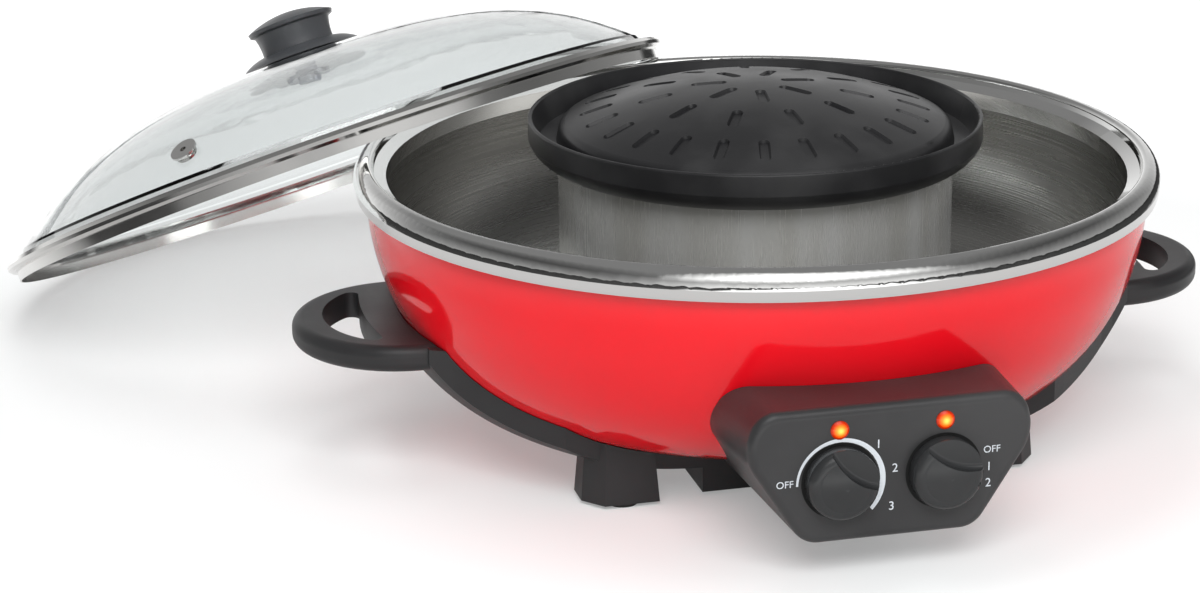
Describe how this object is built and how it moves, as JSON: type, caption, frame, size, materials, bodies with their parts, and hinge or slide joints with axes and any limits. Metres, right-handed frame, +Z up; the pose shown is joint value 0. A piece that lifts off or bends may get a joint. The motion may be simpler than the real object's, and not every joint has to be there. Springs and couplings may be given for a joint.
{
  "type": "electric hot pot with lid",
  "caption": "Round electric hot pot with a raised central grill plate, side handles, front control housing and a lift-off glass lid leaning on its rim.",
  "frame": {"origin": "pot axis on the table surface", "axes": "+Z up along the pot axis, -Y towards the control housing, +X towards the right handle"},
  "size_m": [0.587, 0.6316, 0.1778],
  "materials": {
    "red_enamel": "glossy red enamel",
    "polished_steel": "brushed and polished stainless steel",
    "lid_steel": "polished stainless steel",
    "plated_steel": "zinc plated steel",
    "nonstick": "cast aluminium with a satin black non-stick coating",
    "element_sheath": "dull heat-darkened steel",
    "black_plastic": "satin black phenolic",
    "knob_plastic": "smooth black",
    "lens_amber": "clear amber",
    "clear_glass": "clear tempered glass",
    "foot_rubber": "black rubber",
    "wire_pvc": "white insulated leads"
  },
  "bodies": {
    "base": {"outer_bowl": "red_enamel", "grill_heating_element": "element_sheath", "grill_element_clips": "plated_steel", "heat_reflector": "plated_steel", "heater_pedestal": "plated_steel", "pedestal_screws": "plated_steel", "thermal_fuse": "plated_steel", "pot_heating_element": "element_sheath", "pot_element_clips": "plated_steel", "pot_heat_reflector": "plated_steel", "base_frame": "black_plastic", "foot_arms": "black_plastic", "bottom_cover": "black_plastic", "cover_screws": "plated_steel", "rubber_feet": "foot_rubber", "handle_left": "black_plastic", "handle_right": "black_plastic", "handle_screws": "plated_steel", "housing_screws": "plated_steel", "control_housing": "black_plastic", "control_bracket": "plated_steel", "bracket_screws": "plated_steel", "thermostat": "knob_plastic", "grill_switch": "knob_plastic", "hot_pot_lamp_lens": "lens_amber", "grill_lamp_lens": "lens_amber", "neon_lamps": "clear_glass", "power_inlet": "black_plastic", "terminal_block": "knob_plastic", "internal_wiring": "wire_pvc"},
    "pot": {"inner_pot": "polished_steel", "pot_chimney": "polished_steel"},
    "grill": {"grill_plate": "nonstick", "plate_locating_ring": "nonstick"},
    "hot_pot_dial": {"hot_pot_knob": "knob_plastic", "thermostat_shaft": "plated_steel"},
    "grill_dial": {"grill_knob": "knob_plastic", "switch_shaft": "plated_steel"},
    "lid": {"lid_glass": "clear_glass", "lid_ring": "lid_steel", "vent_grommet": "lid_steel", "knob_washer": "lid_steel", "skirt_disc": "black_plastic", "lid_knob": "black_plastic", "inner_washer": "plated_steel", "lid_knob_screw": "plated_steel"}
  },
  "joints": [
    {"name": "pot_lift", "type": "slide", "parent": "base", "child": "pot", "axis": [0, 0, 1], "range_m": [0, 0.15]},
    {"name": "plate_lift", "type": "slide", "parent": "pot", "child": "grill", "axis": [0, 0, 1], "range_m": [0, 0.12]},
    {"name": "lid_lift", "type": "slide", "parent": "pot", "child": "lid", "axis": [0, 0, 1], "range_m": [0, 0.2]},
    {"name": "hot_pot_knob_turn", "type": "hinge", "parent": "base", "child": "hot_pot_dial", "pos_m": [-0.024, -0.214, 0.048], "axis": [0, -1, 0], "range_deg": [0, 217]},
    {"name": "grill_knob_turn", "type": "hinge", "parent": "base", "child": "grill_dial", "pos_m": [0.024, -0.214, 0.048], "axis": [0, -1, 0], "range_deg": [0, 50]}
  ]
}
